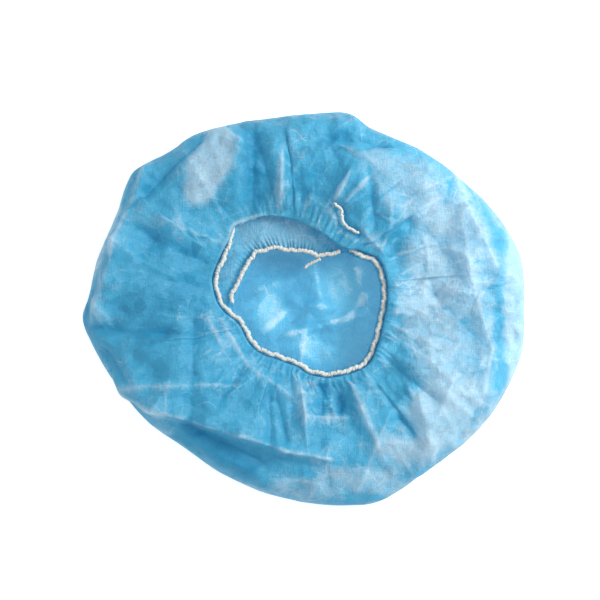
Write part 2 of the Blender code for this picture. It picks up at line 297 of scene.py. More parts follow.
# Patches of painted shade and painted highlight on the top layer: deeper where the cloth lies
# double or in a shaded hollow, paler where it faces the light, most of all down the right side.
# The middle in shares of half the cap's sizes, half the length and width in millimetres, the
# turn of the length, and the tone. The columns are x, y, long, wide, turn and tone.
TOP_SHADE_AND_HIGHLIGHT = (
    (-0.41, 0.74, 24, 12, 67, 2.0),
    (-0.46, 0.58, 12, 7, 40, 1.0),
    (-0.22, 0.66, 26, 7, 92, -1.7),
    (-0.28, 0.89, 14, 4, 165, -1.2),
    (-0.67, 0.62, 8, 6, 45, -0.9),
    (-0.56, 0.38, 15, 4, 95, 0.7),
    (-0.61, 0.32, 22, 2, 156, -0.8),
    (-0.71, 0.14, 10, 3, 90, 0.5),
    (-0.88, 0.40, 32, 6, 74, 1.5),
    (-0.96, 0.04, 16, 4, 78, -0.5),
    (-0.11, 0.63, 16, 3, 88, 0.8),
    (0.17, 0.87, 6, 3, 10, -1.1),
    (0.17, 0.60, 10, 2, 62, 0.9),
    (0.24, 0.59, 10, 2, 46, 0.8),
    (0.02, 0.54, 5, 2, 75, 1.0),
    (0.32, 0.32, 8, 6, 60, 0.6),
    (0.08, 0.72, 22, 12, 60, -0.4),
    (0.76, 0.44, 32, 4, 113, 0.6),
    (0.81, -0.22, 27, 3, 82, 0.6),
    (0.97, -0.02, 66, 10, 90, 2.4),
    (0.86, 0.56, 44, 9, 120, 1.2),
    (0.82, -0.62, 44, 9, 55, 1.2),
    (-0.34, -0.74, 30, 6, 144, -1.6),
    (-0.78, -0.55, 50, 7, 130, -0.9),
    (-0.06, -0.90, 34, 7, 172, 0.9),
    (-0.54, -0.40, 27, 3, 0, 0.6),
    (-0.66, -0.22, 20, 12, 90, -0.5),
    (-0.41, -0.12, 9, 2, 117, 0.7),
    (-0.31, -0.20, 13, 2, 121, 0.7),
    (0.08, -0.46, 10, 4, 90, -1.7),
    (0.16, -0.49, 6, 4, 90, -1.5),
    (0.06, -0.66, 14, 8, 20, -0.7),
    (0.43, -0.60, 11, 7, 150, -1.2),
    (0.27, -0.55, 21, 3, 113, 0.7),
    (0.59, -0.53, 17, 3, 65, 1.0),
    (0.56, 0.16, 22, 12, 100, 0.35),
    (0.64, 0.02, 74, 27, 90, 1.3),
    (0.45, 0.60, 34, 17, 140, 1.1),
    (0.55, -0.60, 34, 19, 40, 1.9),
    (0.30, -0.88, 30, 8, 165, 1.2),
    (-0.40, -0.50, 40, 22, 160, -0.5),
    (-0.62, 0.05, 30, 26, 90, -0.5),
)

# The same on the crown, seen through the mouth: painted shade and painted highlight
CROWN_SHADE_AND_HIGHLIGHT = (
    (-0.02, 0.08, 18, 9, 100, -1.0),
    (-0.16, -0.02, 12, 9, 80, 0.5),
    (0.06, -0.22, 14, 7, 150, 0.4),
    (0.16, 0.12, 14, 8, 100, 0.4),
    (-0.12, 0.22, 10, 6, 20, -0.6),
    (0.10, 0.34, 16, 8, 160, -1.4),
    (0.04, -0.08, 12, 5, 170, -0.5),
)

# Seeded creases: how many, how far out as shares of the outline, half lengths, widths of the
# slopes and height in millimetres, and how strongly their lines of painted highlight and shade
# are marked
SCATTERED = (
    (60, (0.45, 1.0), (8.0, 24.0), (4.0, 14.0), 1.3, 1.3),
    (170, (0.38, 0.94), (3.0, 12.0), (1.8, 6.0), 0.65, 3.0),
    (220, (0.36, 0.62), (2.0, 7.0), (1.5, 3.5), 0.55, 4.0),
)

# Half widths of the line of painted highlight or shade along a crease, in millimetres: main,
# seeded and on the crown. The main creases stand this many times taller than in their table.
main_line = 1.0
seeded_line = 0.75
crown_line = 1.9
main_height = 1.6

# Narrow pleats along the elastic: how many, how deep and how long, in millimetres
pleat_count = 92
pleat_depth = 3.2
pleat_lengths = (3.0, 9.0)

# Gathers of each kind: how many, how far they run out, how tall and how wide, in millimetres.
# They are tallest on the side of the mouth at this angle. The elastic is elastic_run long.
GATHERS = (
    (52, 11.0, 1.5, 1.9),
    (24, 22.0, 1.3, 3.0),
    (9, 44.0, 2.0, 6.0),
)
tallest_gathers = 300.0
elastic_run = 340.0

# Pleats that lie flat: how many there are, the share of a pleat that folds back, and how far its
# layers stand apart. Then the least and most of a pleat's half width as a share of the turn, of
# how far out it starts, of its run, and of how far it folds over as a share of its width. All
# lengths are in millimetres.
pleats_round = 7
fold_share = 0.24
pleat_layer = 0.9
pleat_halves = (0.007, 0.013)
pleat_starts = (2.0, 26.0)
pleat_runs = (24.0, 75.0)
pleat_bulks = (0.10, 0.22)

# Facets that run out from the mouth: how many round it, how long, how high, and their painted shade
RADIAL_FACETS = (
    (13, 46.0, 3.2, 0.10),
    (25, 30.0, 2.5, 0.14),
)

# Facets on a lattice in plan: how large, how high, and their painted shade
PLAN_FACETS = (
    (32.0, 1.6, 0.12),
    (17.0, 0.9, 0.10),
)

# Upright facets of the side: how many round it, how many to a row of the slice, and how high
SIDE_FACETS = (
    (64, 0.55, 1.7),
    (130, 0.9, 1.0),
)

# Puckers of the underside, where the flat round of cloth turns up: how many and how deep, and
# the depth, count round the cap and count to a row of the crumples between them
puckers_round = 116
pucker_depth = 5.8
crumple_depth = 3.3
crumples_round = 160
crumples_in_row = 3.4

# Pleats of the flap and of the hem's free edge: how many, and how deep in metres
flap_pleats = 19
flap_pleat_depth = 0.0006
frill_count = 90
frill_drop = 0.0050

# Rows of the slice over which each kind of fold or tone shows: the row where it starts, over how
# many rows it eases in, the row where it ends, and over how many it eases out before that
FOLDS_ON_TOP = (5.6, 1.4, 13.2, 0.7)
TONE_ON_TOP = (4.6, 1.4, 13.2, 0.7)
ON_SIDE = (2.6, 1.6, 9.3, 2.8)
ON_UNDERSIDE = (1.0, 0.9, 4.7, 1.2)
AT_RING = (12.4, 0.8, 16.9, 1.2)
ON_LIP = (12.7, 0.5, 14.8, 0.5)

# How far a point stands off the middle of its neighbours where its crease is at its sharpest,
# which gives the crease its full painted highlight or shade
crease_sharpness = 0.00026

# Tones: painted shade over the whole crown, which lies in the shadow of the top layer; painted
# highlight on the gathers and painted shade between them, for each millimetre of height; painted
# light on the flap; and the strip of elastic that shows through the lip, with the angle and half
# width of that strip
crown_painted_shade = -0.9
gather_highlight_and_shade = 0.55
flap_painted_light = 0.9
strip_tone = 1.6
strip_angle = 128.0
strip_half = 14.0

# How far out from the elastic the folds reach their full height, in millimetres, and the lowest
# that any point of the cloth lies, in metres
folds_full = 14.0
lowest_point = 0.0003

# Lumpy core and winding thread of the elastic: step and twist of the core, step, turn and radius
# of the thread, and how far slack elastic wanders from its line as a share of its thickness
core_step = 0.0007
core_twist = 0.0042
thread_step = 0.00022
thread_turn = 0.0021
thread_radius = 0.00026
sway_share = 0.13

# Stage: half the floor's width, the key light's place and size, and the camera's lens in
# millimetres and the point that it looks at
floor_half = 3.0
key_place = (0.55, 0.22, 0.42)
key_size = 0.30
camera_lens = 85.0
camera_target = (-0.0026, 0.0039, 0.030)

CLOTH_NODE = "cap_body"
CLOTH_SLOT = "non_woven_cloth"
ELASTIC_SLOT = "elastic"
ELASTIC_NODES = ("hem_elastic", "inner_elastic", "top_tail", "inner_tail")


def column(rows, names, name):
    """One named column of a table."""
    return np.array([row[names.index(name)] for row in rows], float)


def around(rows, names, name, angle):
    """A column's value at each angle, on a smooth curve through its rows, round the whole turn."""
    at = column(rows, names, "angle")
    value = column(rows, names, name)
    at = np.concatenate([at[-2:] - 360.0, at, at[:2] + 360.0])
    value = np.concatenate([value[-2:], value, value[:2]])
    slope = np.gradient(value, at)
    angle = np.mod(angle, 360.0)
    k = np.searchsorted(at, angle, side="right") - 1
    gap = at[k + 1] - at[k]
    s = (angle - at[k]) / gap
    line = value[k] + (value[k + 1] - value[k]) * s * s * (3.0 - 2.0 * s)
    return line + gap * s * (1.0 - s) * (slope[k] * (1.0 - s) - slope[k + 1] * s)


def direction(angle):
    """Unit vectors in plan for angles in degrees."""
    return np.stack([np.cos(np.radians(angle)), np.sin(np.radians(angle))], axis=-1)


def oval(angle, width, depth):
    """Radius of an oval of this width and depth at each angle."""
    way = direction(angle)
    return 1.0 / np.hypot(way[..., 0] / (width / 2), way[..., 1] / (depth / 2))


def outline_point(angle):
    """The cap's outline in plan."""
    reach = around(OUTLINE, OUTLINE_COLUMNS, "reach", angle) * oval(angle, cap_width, cap_depth)
    return direction(angle) * reach[..., None]


def mouth_point(angle):
    """The middle line of the hem elastic, in three dimensions."""
    reach = around(MOUTH, MOUTH_COLUMNS, "reach", angle) * oval(angle, mouth_width, mouth_depth)
    plan = np.array([-mouth_shift_left, mouth_shift_back]) + direction(angle) * reach[..., None]
    height = around(MOUTH, MOUTH_COLUMNS, "height", angle) * mouth_height
    return np.concatenate([plan, height[..., None]], axis=-1)


def outward(angle):
    """Unit vectors in plan that point away from the mouth, square to the elastic."""
    step = 4.0
    along = (mouth_point(angle + step) - mouth_point(angle - step))[..., :2]
    along /= np.linalg.norm(along, axis=-1, keepdims=True)
    return np.stack([along[..., 1], -along[..., 0]], axis=-1)


def beside_elastic(angle, out, up):
    """A point out from the elastic's middle line by out and above it by up."""
    place = mouth_point(angle)
    place[..., :2] += outward(angle) * np.asarray(out)[..., None]
    place[..., 2] += up
    return place


def puff(angle):
    """Height of the top layer at each angle."""
    return around(OUTLINE, OUTLINE_COLUMNS, "puff", angle) * puff_height


def crown_row(angle, along, height):
    """One row of the crown or side."""
    plan = outline_point(angle) * along
    rise = cloth_wall / 2 + height * (puff(angle) - cloth_wall)
    return np.concatenate([plan, rise[..., None]], axis=-1)


def top_row(angle, along, height):
    """One row of the top layer, between the elastic and the outline."""
    near = beside_elastic(angle, elastic_diameter, 0.0)
    plan = near[..., :2] + (outline_point(angle) - near[..., :2]) * along
    level = np.interp(height, (0.7, 1.0), (0.0, 1.0))
    low = near[..., 2] + elastic_diameter
    rise = low + (puff(angle) - low) * level if along < 0.7 else height * puff(angle)
    return np.concatenate([plan, rise[..., None]], axis=-1)


def hem_levels():
    """Heights above the elastic's middle of the two layers of the lip, and of the hem under it."""
    over = elastic_diameter / 2 + clearance + cloth_wall / 2
    return over + cloth_wall + lip_gap, over, -over


def inside_mouth(angle, inward, up):
    """A point in from the elastic's middle line, towards the mouth's middle, and above it by up."""
    place = mouth_point(angle)
    place[..., :2] -= direction(angle) * np.asarray(inward)[..., None]
    place[..., 2] += up
    return place


def flap_share(angle):
    """How far the flap hangs in at each angle, as a share of its furthest reach."""
    return np.clip(around(HEM, HEM_COLUMNS, "flap", angle), 0.0, 1.0)


def flap_in(angle):
    """How far in from the elastic's middle the inner elastic's middle lies."""
    least = elastic_diameter / 2 + hem_edge
    return least + flap_share(angle) * (flap_reach - least)


def flap_level(angle, share):
    """Height of the flap's middle below the elastic's, at a share of the way to its edge."""
    return hem_levels()[2] - share * flap_share(angle) * flap_droop


def hem_rows(angle):
    """The rows that fold the lip over the elastic, wrap the elastic and end in the flap."""
    top, over, under = hem_levels()
    side = elastic_diameter / 2 + clearance + cloth_wall / 2
    bend = cloth_wall + lip_gap
    lip = np.clip(around(HEM, HEM_COLUMNS, "lip", angle), 0.0, 1.0)
    tip = side - lip * (side + lip_reach)
    edge = flap_in(angle) + inner_elastic_diameter / 2 * np.clip(flap_share(angle) / 0.2, 0.0, 1.0)
    round_elastic = (
        (tip + 1.6 * bend, top + 0.15 * bend),
        (tip + 0.5 * bend, top),
        (tip, (top + over) / 2),
        (tip + 0.5 * bend * lip, over),
        (side + 0.1 * bend, over * (0.6 + 0.35 * lip)),
        (side + 0.1 * bend, under * 0.6),
        (0.4 * side, under),
    )
    rows = [beside_elastic(angle, out, up) for out, up in round_elastic]
    return rows + [inside_mouth(angle, share * edge, flap_level(angle, share)) for share in (0.5, 1.0)]


def smooth_step(share):
    """A share from 0 to 1, eased at both ends."""
    share = np.clip(share, 0.0, 1.0)
    return share * share * (3.0 - 2.0 * share)


def window(rank, rows):
    """A share that eases in from 0 to 1 and out again, over the rows that a tuple of four gives."""
    start, rise, end, fall = rows
    return smooth_step((rank - start) / rise) * smooth_step((end - rank) / fall)


def plain_sheet(angle):
    """The uncrumpled cloth as a grid of points, and the row of the slice that each grid row is at.

    A smooth curve runs through the rows of the slice in each column, spaced by their mean
    distance apart, so the sheet is a function of the angle and the way along the slice.
    """
    knots = [np.tile([0.0, 0.0, cloth_wall / 2], (len(angle), 1))]
    knots += [crown_row(angle, along, height) for along, height, rows in CROWN_AND_SIDE]
    knots += [top_row(angle, along, height) for along, height, rows in TOP]
    knots = np.stack(knots + hem_rows(angle))
    counts = [rows for along, height, rows in CROWN_AND_SIDE + TOP] + list(HEM_ROWS)
    apart = np.linalg.norm(np.diff(knots, axis=0), axis=-1).mean(axis=1)
    at = np.concatenate([[0.0], np.cumsum(apart)])
    slope = np.gradient(knots, at, axis=0)
    level = [k + np.arange(rows) / rows for k, rows in enumerate(counts)]
    level = np.concatenate(level + [[len(counts)]])
    k = np.minimum(level.astype(int), len(counts) - 1)
    s = (level - k)[:, None, None]
    gap = (at[k + 1] - at[k])[:, None, None]
    line = knots[k] + (knots[k + 1] - knots[k]) * s * s * (3.0 - 2.0 * s)
    return line + gap * s * (1.0 - s) * (slope[k] * (1.0 - s) - slope[k + 1] * s), level


def grid_normals(points):
    """Unit normals of a grid that closes on itself from its last column to its first."""
    down = np.gradient(points, axis=0)
    across = np.roll(points, -1, axis=1) - np.roll(points, 1, axis=1)
    normal = np.cross(across, down)
    size = np.linalg.norm(normal, axis=-1, keepdims=True)
    return normal / np.maximum(size, 1e-12)


def crease_field(plan, creases, line_width):
    """Height in millimetres and tone that straight creases add at points in plan, in millimetres.

    Each is a tent: full height on its line, down in straight slopes within its left and right
    widths, and eased out past its two ends. Its line, which is line_width to either side, is
    paler on a ridge and deeper in a dent, as painted highlight and painted shade, and the whole
    tent is a little so too.
    """
    lift = np.zeros(plan.shape[:-1])
    tone = np.zeros(plan.shape[:-1])
    for x0, y0, x1, y1, left, right, height in creases:
        start = np.array([x0, y0])
        run = np.array([x1, y1]) - start
        length = np.hypot(*run)
        away = plan - start
        along = (away @ run) / length
        across = (away[..., 1] * run[0] - away[..., 0] * run[1]) / length
        slope = np.where(across > 0, across / left, -across / right)
        past = np.maximum(-along, along - length) / (0.35 * length + 3.0)
        ends = 2.0 * (1.0 - smooth_step(0.5 + 0.5 * past)).clip(0.0, 0.5)
        tent = np.clip(1.0 - slope, 0.0, 1.0) ** 1.4 * ends
        lift += height * tent
        line = np.exp(-((across / line_width) ** 2)) * ends
        broken = 0.65 + 0.35 * np.sin(along / 2.3 + x0) * np.sin(along / 5.1 + y0)
        # Painted highlight along a ridge and painted shade along a dent, faintly over the tent too
        tone += height * (0.28 * line * broken + 0.07 * tent)
    return lift, tone


def painted_light_patches(plan, table):
    """Painted shade and highlight that a table of patches adds at points in plan, in millimetres.

    A patch is eight-sided with a soft edge: its distance is the larger of the shares of its
    half sizes along and across, and of their sum over 1.35.
    """
    tone = np.zeros(plan.shape[:-1])
    half = 500.0 * np.array([cap_width, cap_depth])
    for x, y, half_long, half_wide, turn, strength in table:
        way = direction(turn)
        away = plan - np.array([x, y]) * half
        along = np.abs(away @ way) / half_long
        across = np.abs(away[..., 1] * way[0] - away[..., 0] * way[1]) / half_wide
        reach = np.maximum(np.maximum(along, across), (along + across) / 1.35)
        tone += strength * smooth_step((1.5 - reach) / 0.9)
    return tone


def placed_creases(table):
    """A table of creases with its places in millimetres."""
    half = 500.0 * np.array([cap_width, cap_depth, cap_width, cap_depth])
    return [(*(np.array(row[:4]) * half), *row[4:]) for row in table]


def scattered_creases(rng, count, reach, lengths, widths, tallest):
    """Seeded creases of many lengths over the cap, most of them running out from the mouth."""
    turn = rng.uniform(0.0, 2 * math.pi, count)
    far = np.sqrt(rng.uniform(reach[0] ** 2, reach[1] ** 2, count))
    middle = np.stack([np.cos(turn) * far * cap_width, np.sin(turn) * far * cap_depth], 1) * 500.0
    radial = rng.random(count) < 0.6
    lean = np.where(radial, rng.normal(0.0, 0.45, count), rng.uniform(-1.6, 1.6, count))
    way = np.stack([np.cos(turn + lean), np.sin(turn + lean)], 1)
    length = rng.uniform(*lengths, count)
    ends = np.concatenate([middle - way * length[:, None], middle + way * length[:, None]], 1)
    widths = rng.uniform(*widths, (count, 2))
    height = tallest * rng.uniform(0.3, 1.0, count) * rng.choice((-1.0, 1.0, 1.0), count)
    return np.column_stack([ends, widths, height]).tolist()


def uneven_wave(turn, count, rng):
    """A zigzag round the elastic with count teeth of unequal width, and each point's tooth.

    The zigzag is 0 at a tooth's feet and 1 at its top.
    """
    feet = (np.arange(count) + rng.uniform(-0.3, 0.3, count)) / count
    feet = np.concatenate([[feet[-1] - 1.0], feet, [feet[0] + 1.0]])
    phase = np.interp(turn, feet, np.arange(-1.0, count + 1.0))
    tooth = np.floor(phase).astype(int) % count
    return 1.0 - np.abs(2.0 * (phase % 1.0) - 1.0), tooth


def gather_field(turn, out, rng):
    """Height in millimetres of the gathers at a distance out from the elastic, in millimetres.

    turn is the way round the elastic, from 0 to 1. Narrow pleats stand side by side along the
    elastic, each of its own depth and length. Each longer gather is a tent that starts narrow,
    widens as it runs out, leans a little and dies away at its own length.
    """
    ridge, tooth = uneven_wave(turn, pleat_count, rng)
    depth = rng.uniform(0.5, 1.0, pleat_count)[tooth] * pleat_depth
    length = rng.uniform(*pleat_lengths, pleat_count)[tooth]
    lift = (ridge - 0.75) * depth * np.exp(-((out / length) ** 2))
    for count, reach, height, width in GATHERS:
        start = (np.arange(count) + rng.uniform(-0.32, 0.32, count)) / count
        length = reach * rng.uniform(0.45, 1.5, count)
        tall = height * rng.uniform(0.45, 1.25, count)
        lean = rng.normal(0.0, 0.0011, count)
        for k in range(count):
            away = (turn - start[k] - lean[k] * out / 4.0 + 0.5) % 1.0 - 0.5
            half = (width + 0.07 * out) / elastic_run
            fade = np.exp(-((out / length[k]) ** 1.6))
            lift += tall[k] * np.clip(1.0 - np.abs(away) / half, 0.0, 1.0) * fade
    return lift


def flat_pleats(turn, row_length, out, rank, rng):
    """Shift along the row and height, in millimetres, of pleats that are folded over and lie flat.

    In a pleat the cloth runs on past the fold, back under itself and on again: the shift rises
    slowly to the fold, falls steeply through its middle and rises back, and the height drops
    from the upper layer to the lower one. Each pleat has its own width, lean and length.
    """
    shift = np.zeros(turn.shape)
    height = np.zeros(turn.shape)
    start = (np.arange(pleats_round) + rng.uniform(-0.3, 0.3, pleats_round)) / pleats_round
    for k in range(pleats_round):
        half = rng.uniform(*pleat_halves)
        lean = rng.normal(0.0, 0.00022)
        side = rng.choice((-1.0, 1.0))
        near = rng.uniform(*pleat_starts)
        far = near + rng.uniform(*pleat_runs)
        bulk = rng.uniform(*pleat_bulks)
        away = (turn - start[k] - lean * out + 0.5) % 1.0 - 0.5
        t = np.clip(side * away / half, -1.0, 1.0)
        size = smooth_step((out - near) / 9.0 + 1.0) * smooth_step((far - out) / 16.0)
        size = size * smooth_step((rank - 2.4) / 1.4)
        slow = np.where(t < 0, t + 1.0, t - 1.0) / (1.0 - fold_share)
        steep = -t / fold_share
        wave = np.where(np.abs(t) > fold_share, slow, steep)
        wide = half * row_length
        shift += side * bulk * wide * wave * size
        height += pleat_layer * np.clip(-t / fold_share, -1.0, 1.0) * (1.0 - np.abs(t)) ** 0.5 * size
    return shift, height


def facet_field(across, along, cells, rng):
    """Heights from -1 to 1 over flat triangles, as a crumpled sheet has them, and a painted shade
    from -1 to 1 that differs at random from triangle to triangle.

    Seeded heights at the corners a, b, c and d of a lattice are joined by two flat triangles in
    each cell, split along one diagonal or the other. across and along count cells, across closes
    on itself after this many cells, and both are bent a little so that no line runs on for long.
    """
    sway = rng.uniform(0.0, 2 * math.pi, 4)
    u = across + 0.24 * np.sin(2.1 * along + sway[0]) + 0.16 * np.sin(4.7 * along + sway[1])
    turns = np.array([3, 7]) * 2 * math.pi / cells
    v = along + 0.30 * np.sin(turns[0] * across + sway[2]) + 0.30 * np.sin(turns[1] * across + sway[3])
    i = np.floor(u).astype(int)
    j = np.floor(v).astype(int)
    fu = u - i
    fv = v - j
    low = j.min()
    corner = rng.uniform(-1.0, 1.0, (cells, j.max() - low + 2))
    split = rng.random(corner.shape) < 0.5
    i0 = i % cells
    i1 = (i + 1) % cells
    j0 = j - low
    a, b, c, d = corner[i0, j0], corner[i1, j0], corner[i1, j0 + 1], corner[i0, j0 + 1]
    rising = np.where(fu > fv, a + fu * (b - a) + fv * (c - b), a + fv * (d - a) + fu * (c - d))
    falling = np.where(
        fu + fv < 1.0, a + fu * (b - a) + fv * (d - a), c + (1.0 - fu) * (d - c) + (1.0 - fv) * (b - c)
    )
    side = np.where(split[i0, j0], fu > fv, fu + fv < 1.0).astype(int)
    shade = rng.uniform(-1.0, 1.0, (*corner.shape, 2))[i0, j0, side]
    return np.where(split[i0, j0], rising, falling), shade


def top_facets(plan, turn, out, rng):
    """Height in millimetres and tone of the top layer's facets, the tone a painted shade of each
    facet's own.

    Long ones run out from the mouth, and small ones lie all ways.
    """
    lift = np.zeros(out.shape)
    tone = np.zeros(out.shape)
    for cells, length, height, shade in RADIAL_FACETS:
        facet, facet_shade = facet_field(turn * cells, out / length, cells, rng)
        lift += height * facet
        tone += shade * facet_shade
    for size, height, shade in PLAN_FACETS:
        facet, facet_shade = plan_facets(plan, size, rng)
        lift += height * facet
        tone += shade * facet_shade
    return lift, tone


def plan_facets(plan, size, rng):
    """Facets of one size over points in plan, both in millimetres, on a lattice turned by chance."""
    way = rng.uniform(0.0, math.pi)
    across = plan @ np.array([math.cos(way), math.sin(way)])
    along = plan @ np.array([-math.sin(way), math.cos(way)])
    return facet_field(across / size + 200.0, along / size, 400, rng)


def side_field(turn, level, rng):
    """Height in millimetres of the upright folds of the side, eased out on the crown and the top.

    They are facets too, shallower where the side bulges furthest out, so the outline is smooth.
    """
    lift = np.zeros(turn.shape)
    for cells, in_row, height in SIDE_FACETS:
        lift += height * facet_field(turn * cells, level * in_row, cells, rng)[0]
    lift *= 1.0 - 0.8 * np.exp(-((level - 5.2) ** 2))
    pucker, tooth = uneven_wave(turn, puckers_round, rng)
    deep = pucker_depth * rng.uniform(0.2, 1.2, puckers_round)[tooth] * pucker
    crumples = facet_field(turn * crumples_round, level * crumples_in_row, crumples_round, rng)[0]
    deep += crumple_depth * (1.0 + crumples)
    return lift * window(level, ON_SIDE) - deep * window(level, ON_UNDERSIDE)


def hem_frill(turn, level, flap, rng):
    """How far the hem's free edge and the flap drop in uneven pleats, which grow to the edge."""
    pleat, tooth = uneven_wave(turn, flap_pleats, rng)
    pleat *= rng.uniform(0.4, 1.0, flap_pleats)[tooth]
    edge, tooth = uneven_wave(turn, frill_count, rng)
    edge *= rng.uniform(0.7, 1.0, frill_count)[tooth]
    frill = frill_drop * edge * smooth_step((level - 18.6) / 2.4) ** 9 * (1.0 - 0.5 * flap)
    return flap_pleat_depth * pleat * smooth_step((level - 18.2) / 1.2) * flap + frill


def under_tail(plan):
    """Share from 0 to 1 by which the loose end on top presses the folds down under it."""
    path = top_tail_path()[:, :2] * 1000.0
    near = np.full(plan.shape[:-1], 1e3)
    for place in path:
        near = np.minimum(near, np.hypot(plan[..., 0] - place[0], plan[..., 1] - place[1]))
    return np.exp(-((near / 3.4) ** 2))


def about_elastic(points, angle):
    """The way round the elastic, from 0 to 1, of each point of the sheet, and how far out it lies."""
    line = mouth_point(angle)
    steps = np.linalg.norm(np.roll(line, -1, axis=0) - line, axis=-1)
    turn = (np.cumsum(steps) - steps) / steps.sum()
    out = np.linalg.norm(points[..., :2] - line[None, :, :2], axis=-1) * 1000.0
    return np.broadcast_to(turn[None, :], out.shape), out


def top_folds(plan, rank, turn, out, rng):
    """Height in millimetres and tone, painted shade and highlight, of the top layer's creases,
    patches and facets.
    """
    folds, tone = crease_field(plan, placed_creases(TOP_CREASES), main_line)
    folds *= main_height
    tone += painted_light_patches(plan, TOP_SHADE_AND_HIGHLIGHT)
    for count, reach, lengths, widths, tallest, marked in SCATTERED:
        creases = scattered_creases(rng, count, reach, lengths, widths, tallest)
        more_folds, more_tone = crease_field(plan, creases, seeded_line)
        folds += more_folds
        tone += marked * more_tone
    facets, facet_shade = top_facets(plan, turn, out, rng)
    tone += facet_shade * smooth_step(out / 20.0)
    return folds + facets, tone * window(rank, TONE_ON_TOP)


def crown_folds(plan, rng):
    """Height in millimetres, never under 0, and tone of the crown's creases, patches and facets:
    their painted shade and highlight, and painted shade over the whole crown.
    """
    lift, tone = crease_field(plan, placed_creases(CROWN_CREASES), crown_line)
    # Painted highlight and shade of the creases and patches, and painted shade over the whole crown
    tone = 2.8 * tone + 3.4 * painted_light_patches(plan, CROWN_SHADE_AND_HIGHLIGHT) + crown_painted_shade
    for size, height, shade in PLAN_FACETS:
        facets, facet_shade = plan_facets(plan, 0.8 * size, rng)
        lift += 0.8 * height * facets
        tone += 1.4 * shade * facet_shade
    return np.maximum(lift + 0.8, 0.0), tone


def crumpled_sheet():
    """The whole cloth and its tone, mostly painted shade and highlight: the plain sheet moved along
    its normals by every field of folds.

    Flat pleats shift it along its rows as well, and the crown's folds and the hem's frill raise
    and drop it.
    """
    rng = np.random.default_rng(20)
    angle = np.arange(sheet_columns) * 360.0 / sheet_columns
    points, level = plain_sheet(angle)
    normal = grid_normals(points)
    plan = points[..., :2] * 1000.0
    rank = np.broadcast_to(level[:, None], plan.shape[:2])
    turn, out = about_elastic(points, angle)
    on_top = window(rank, FOLDS_ON_TOP)
    on_crown = smooth_step((3.6 - rank) / 1.2)
    clear_of_hem = smooth_step((13.6 - rank) / 1.2)

    folds, tone = top_folds(plan, rank, turn, out, rng)
    side_share = 0.6 + 0.4 * np.cos(np.radians(angle - tallest_gathers))
    gathers = gather_field(turn, out, rng) * side_share
    lift = on_top * (folds * smooth_step(out / folds_full) + gathers)
    pressed = under_tail(plan) * on_top
    lift = lift * (1.0 - pressed) - 0.3 * pressed
    lift += side_field(turn, rank, rng)
    raised, inside_painted_light = crown_folds(plan, rng)

    # Painted highlight on raised gathers and painted shade between them, painted light on the
    # flap, the crown's painted shade and highlight, and the strip of elastic that shows through the
    # lip
    tone += gather_highlight_and_shade * on_top * np.clip(gathers, -0.6, 2.0)
    tone += on_crown * inside_painted_light
    tone += flap_painted_light * smooth_step(rank - 18.0) * flap_share(angle)
    at_strip = np.exp(-(((angle - strip_angle) / strip_half) ** 2))
    tone += strip_tone * window(rank, ON_LIP) * at_strip

    ahead = np.roll(points, -1, axis=1) - np.roll(points, 1, axis=1)
    step = np.linalg.norm(ahead, axis=-1, keepdims=True)
    row_length = (step[..., 0].sum(axis=1) * 500.0)[:, None]
    shift, layer = flat_pleats(turn, row_length, out, rank, rng)
    lift += layer * clear_of_hem
    shift *= clear_of_hem * 0.001
    points = points + ahead / np.maximum(step, 1e-9) * shift[..., None]
    points += normal * (lift * 0.001)[..., None]
    points[..., 2] += on_crown * raised * 0.001
    points[..., 2] += window(rank, AT_RING) * np.maximum(gathers, 0.0) * 0.0006
    points[..., 2] -= hem_frill(turn, rank, flap_share(angle)[None, :], rng)
    points[..., 2] = np.maximum(points[..., 2], lowest_point)
    # Painted highlight higher up and painted shade lower down, growing with the lift
    return points, tone + 0.04 * lift


def neighbour_mean(grid):
    """The mean of each grid point's four neighbours, with the first and last rows kept."""
    down = np.concatenate([grid[1:], grid[-1:]])
    up = np.concatenate([grid[:1], grid[:-1]])
    mean = (down + up + np.roll(grid, 1, axis=1) + np.roll(grid, -1, axis=1)) / 4.0
    mean[0] = grid[0]
    mean[-1] = grid[-1]
    return mean


def crease_highlight_and_shade(points, tone):
    """How pale a point is, over 0 on a ridge and under 0 in a dent: painted highlight on ridges and
    painted shade in dents.

    The tone of the folds, and the distance from each point to the middle of its neighbours,
    along the normal, softened over the grid.
    """
    sharp = ((points - neighbour_mean(points)) * grid_normals(points)).sum(axis=-1) / crease_sharpness
    sharp = 0.5 * sharp + 0.5 * neighbour_mean(sharp)
    return 0.4 * np.clip(sharp, -1.0, 1.0) + np.clip(tone, -1.8, 1.8)


def grid_mesh(name, points, pole=None):
    """A mesh over a grid that closes from its last column to its first, with a fan to its pole."""
    rows, columns = points.shape[:2]
    index = np.arange(rows * columns).reshape(rows, columns)
    after = np.roll(index, -1, axis=1)
    faces = np.stack([index[:-1], after[:-1], after[1:], index[1:]], axis=-1).reshape(-1, 4).tolist()
    places = points.reshape(-1, 3)
    if pole is not None:
        places = np.concatenate([places, [pole]])
        fan = np.full(columns, rows * columns)
        faces += np.stack([fan, after[0], index[0]], axis=-1).tolist()
    mesh = bpy.data.meshes.new(name)
    mesh.from_pydata(places, [], faces)
    mesh.shade_smooth()
    return mesh


def add_object(name, mesh, material, slot, *nodes):
    """An object for one piece, on the cap's body, in the place of its CAD nodes."""
    made = bpy.data.objects.new(name, mesh)
    made.data.materials.append(material)
    bpy.context.scene.collection.objects.link(made)
    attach(made, "root")
    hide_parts(*nodes)
    return made


def tube_frames(path, closed):
    """Unit vectors beside and above each point of a path, square to its way."""
    if closed:
        along = np.roll(path, -1, axis=0) - np.roll(path, 1, axis=0)
    else:
        along = np.gradient(path, axis=0)
    along /= np.linalg.norm(along, axis=-1, keepdims=True)
    beside = np.cross(along, [0.0, 0.0, 1.0])
    beside /= np.linalg.norm(beside, axis=-1, keepdims=True)
    return beside, np.cross(beside, along)


